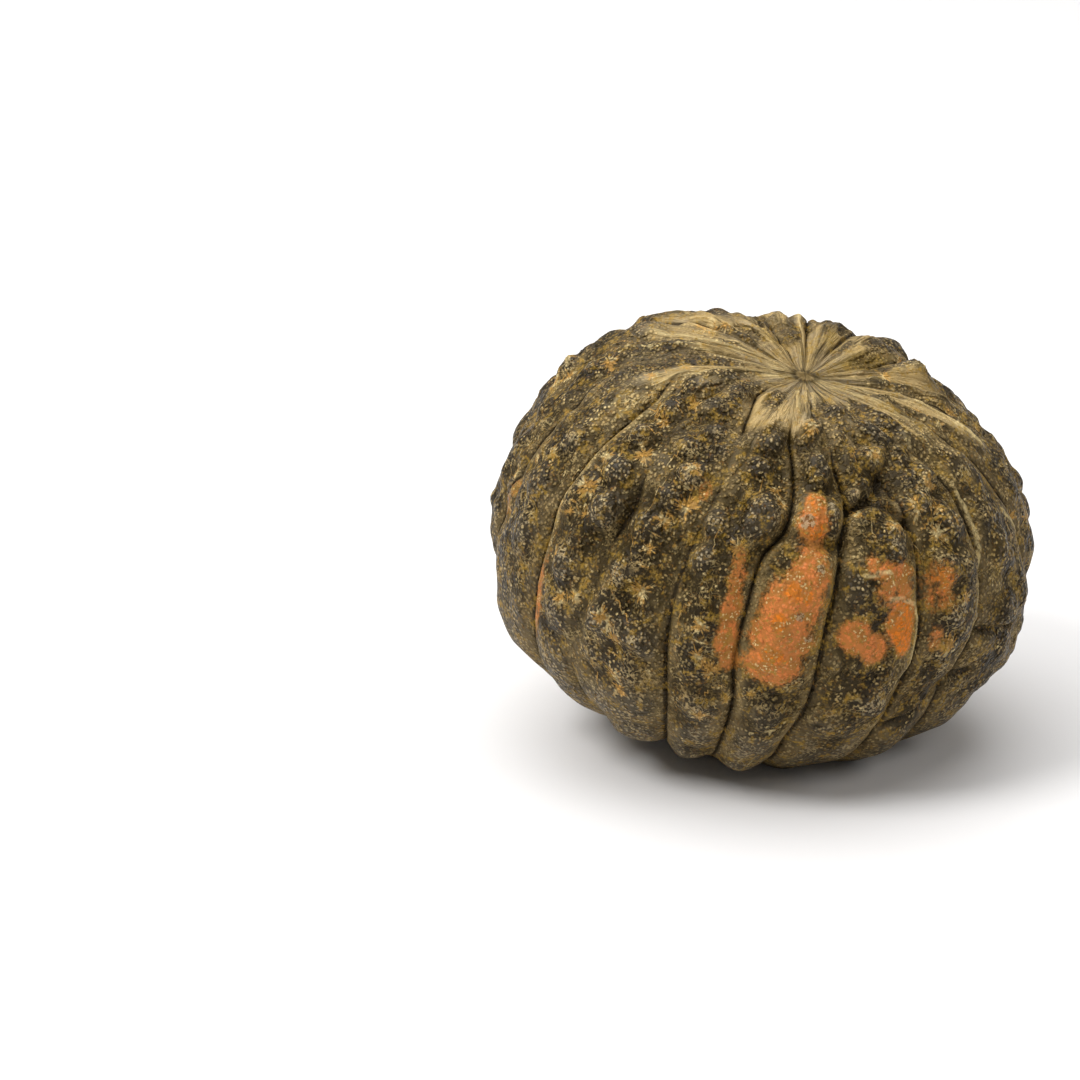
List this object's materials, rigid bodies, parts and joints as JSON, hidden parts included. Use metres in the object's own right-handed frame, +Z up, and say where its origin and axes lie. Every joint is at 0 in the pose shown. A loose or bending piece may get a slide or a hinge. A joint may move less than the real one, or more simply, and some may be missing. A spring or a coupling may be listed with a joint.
{
  "type": "pumpkin",
  "caption": "Squat ribbed pumpkin with deep bulging lobes, blistered skin and a dimpled blossom end, lying tilted on its stem end, with the cut stub of its stem beneath.",
  "frame": {"origin": "on the ground the fruit lies on, below the middle of its box", "axes": "+Z up from the ground, +X to the right and -Y to the front as the picture sees it"},
  "size_m": [0.1876, 0.1872, 0.1428],
  "materials": {
    "rind": "matt, blistered and dusty, dark olive brown with tan flecks and orange patches",
    "dry_stem": "dry and matt"
  },
  "bodies": {
    "root": {"fruit": "rind", "stem": "dry_stem"}
  },
  "joints": []
}
